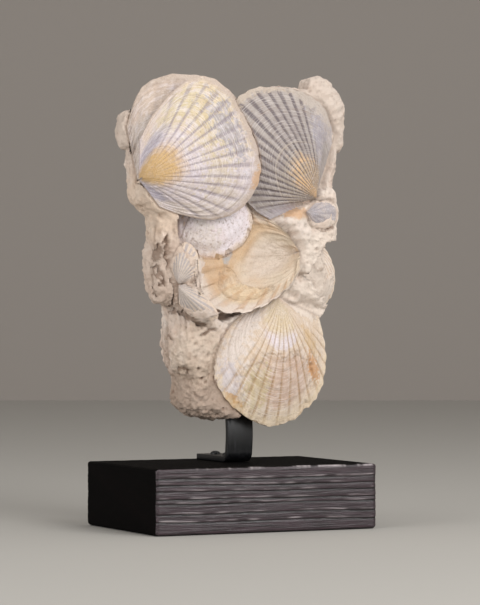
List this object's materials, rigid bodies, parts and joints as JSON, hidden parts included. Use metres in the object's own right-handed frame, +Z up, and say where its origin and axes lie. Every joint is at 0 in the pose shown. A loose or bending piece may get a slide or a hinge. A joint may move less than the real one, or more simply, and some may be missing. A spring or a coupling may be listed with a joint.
{
  "type": "fossil scallop cluster on a stand",
  "caption": "Fossil scallop valves standing out of a limestone matrix, held up on a flat steel bar over a dark timber plinth.",
  "frame": {"origin": "centre of the plinth's underside", "axes": "+Z up, +X along the plinth's long side to the right as seen from the front, +Y to the back, so the valves face -Y"},
  "size_m": [0.219, 0.1494, 0.4014],
  "materials": {
    "stained_timber": "satin",
    "blackened_steel": "satin",
    "screw_steel": "satin",
    "limestone": "matte",
    "cream_shell": "satin",
    "worn_shell": "satin",
    "grey_shell": "satin",
    "lilac_shell": "satin",
    "peach_shell": "satin",
    "tan_shell": "satin",
    "small_grey_shell": "satin",
    "rosy_shell": "satin",
    "ear_shell": "satin"
  },
  "bodies": {
    "root": {"plinth": "stained_timber", "steel_bar": "blackened_steel", "foot_screw_near": "screw_steel", "foot_screw_far": "screw_steel", "matrix": "limestone", "scallop_upper_left": "cream_shell", "scallop_behind_upper_left": "worn_shell", "scallop_upper_right": "grey_shell", "scallop_below_upper_left": "lilac_shell", "scallop_middle_inside": "peach_shell", "scallop_lower": "tan_shell", "small_scallop_left_upper": "small_grey_shell", "small_scallop_left_lower": "small_grey_shell", "scallop_right_side": "rosy_shell", "hinge_ear": "ear_shell"}
  },
  "joints": []
}
